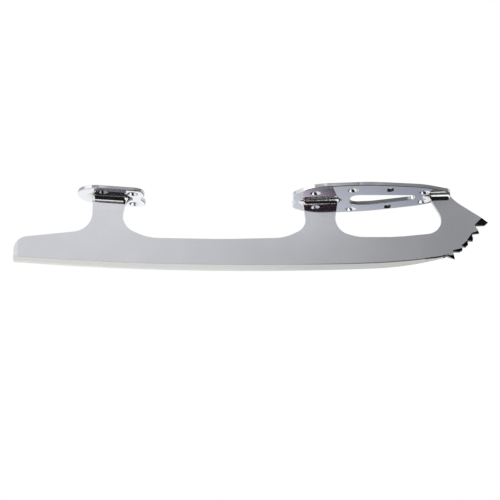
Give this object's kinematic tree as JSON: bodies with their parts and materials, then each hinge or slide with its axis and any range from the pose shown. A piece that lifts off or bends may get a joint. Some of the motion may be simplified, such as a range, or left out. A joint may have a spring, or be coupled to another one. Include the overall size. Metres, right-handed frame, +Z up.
{
  "type": "figure skate blade",
  "caption": "Figure skate blade: a steel runner with toe picks and a curved, hollow-ground edge, its stanchions brazed into a sole plate and a heel plate drilled for boot screws.",
  "frame": {"origin": "on the top face of the sole plate, in the runner's middle plane, over the ball stanchion", "axes": "+X towards the toe, +Y to the left side, +Z up from the ice; the ice is level and the sole plate rises 2.4 degrees towards the toe"},
  "size_m": [0.3212, 0.0537, 0.0562],
  "materials": {
    "polished_steel": "satin chrome sides over a bare ground edge",
    "chrome_plate": "mirror",
    "braze": "mirror, plated over the braze"
  },
  "bodies": {
    "root": {"runner": "polished_steel", "sole_plate": "chrome_plate", "heel_plate": "chrome_plate", "heel_braze_left": "braze", "heel_braze_right": "braze", "ball_braze_left": "braze", "ball_braze_right": "braze", "toe_braze_left": "braze", "toe_braze_right": "braze"}
  },
  "joints": []
}
